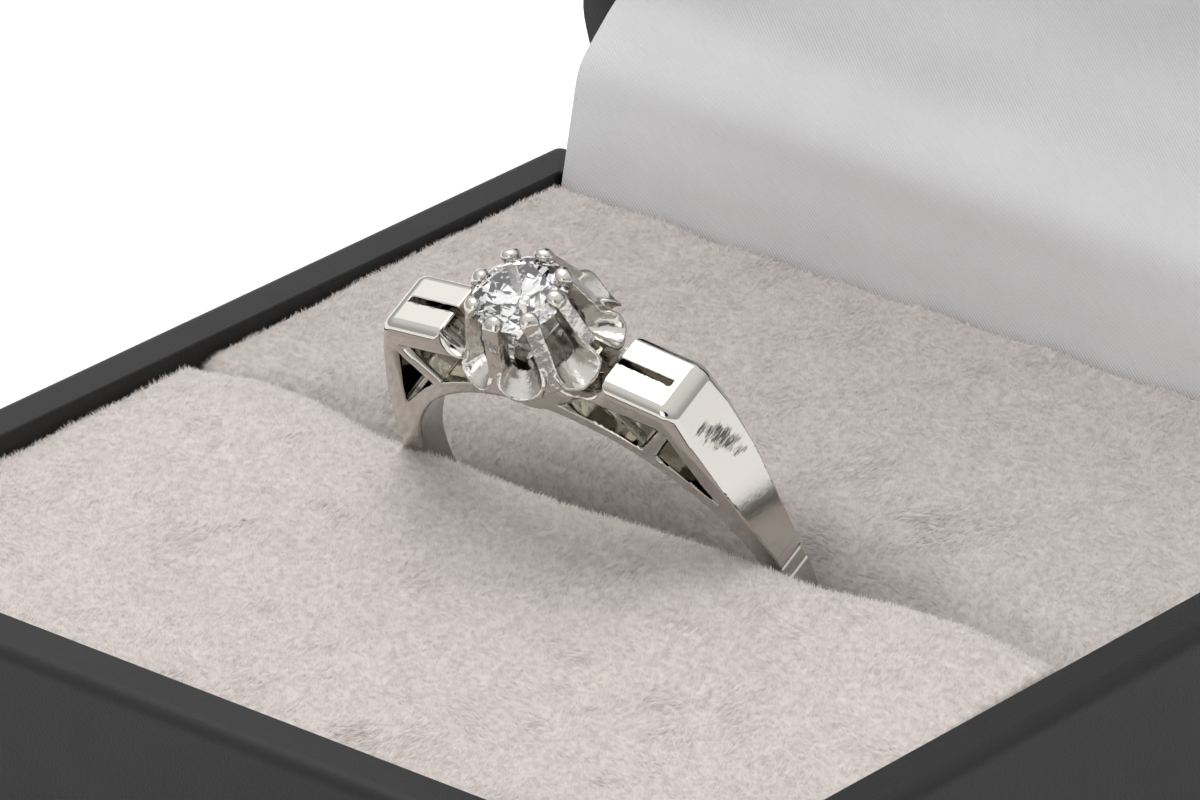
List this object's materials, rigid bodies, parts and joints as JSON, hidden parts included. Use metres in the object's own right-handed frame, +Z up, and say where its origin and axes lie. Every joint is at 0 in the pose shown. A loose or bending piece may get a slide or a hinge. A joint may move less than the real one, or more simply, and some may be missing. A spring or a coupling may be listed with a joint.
{
  "type": "solitaire ring in a hinged ring box",
  "caption": "White gold engagement ring with one round stone in a claw head and pierced shoulders, standing in the slot of an open padded ring box with a hinged lid.",
  "frame": {"origin": "centre of the flat underside of the box", "axes": "+Z up, +X along the ring's slot to the right as seen from the front, +Y towards the hinge; the lid is open"},
  "size_m": [0.0508, 0.0744, 0.0752],
  "materials": {
    "white_gold": "polished",
    "diamond": "polished facets",
    "box_shell": "leatherette covered, matt",
    "velour": "short pile",
    "satin": "soft sheen",
    "pin_steel": "plain"
  },
  "bodies": {
    "base": {"base_shell": "box_shell", "pad_front": "velour", "pad_back": "velour", "lining_apron": "satin", "hinge_pin": "pin_steel", "ring_mount": "white_gold", "stone": "diamond"},
    "lid": {"lid_shell": "box_shell", "lid_lining": "satin"}
  },
  "joints": [
    {"name": "lid_hinge", "type": "hinge", "parent": "base", "child": "lid", "pos_m": [0, 0.026, 0.024], "axis": [1, 0, 0], "range_deg": [0, 95]}
  ]
}
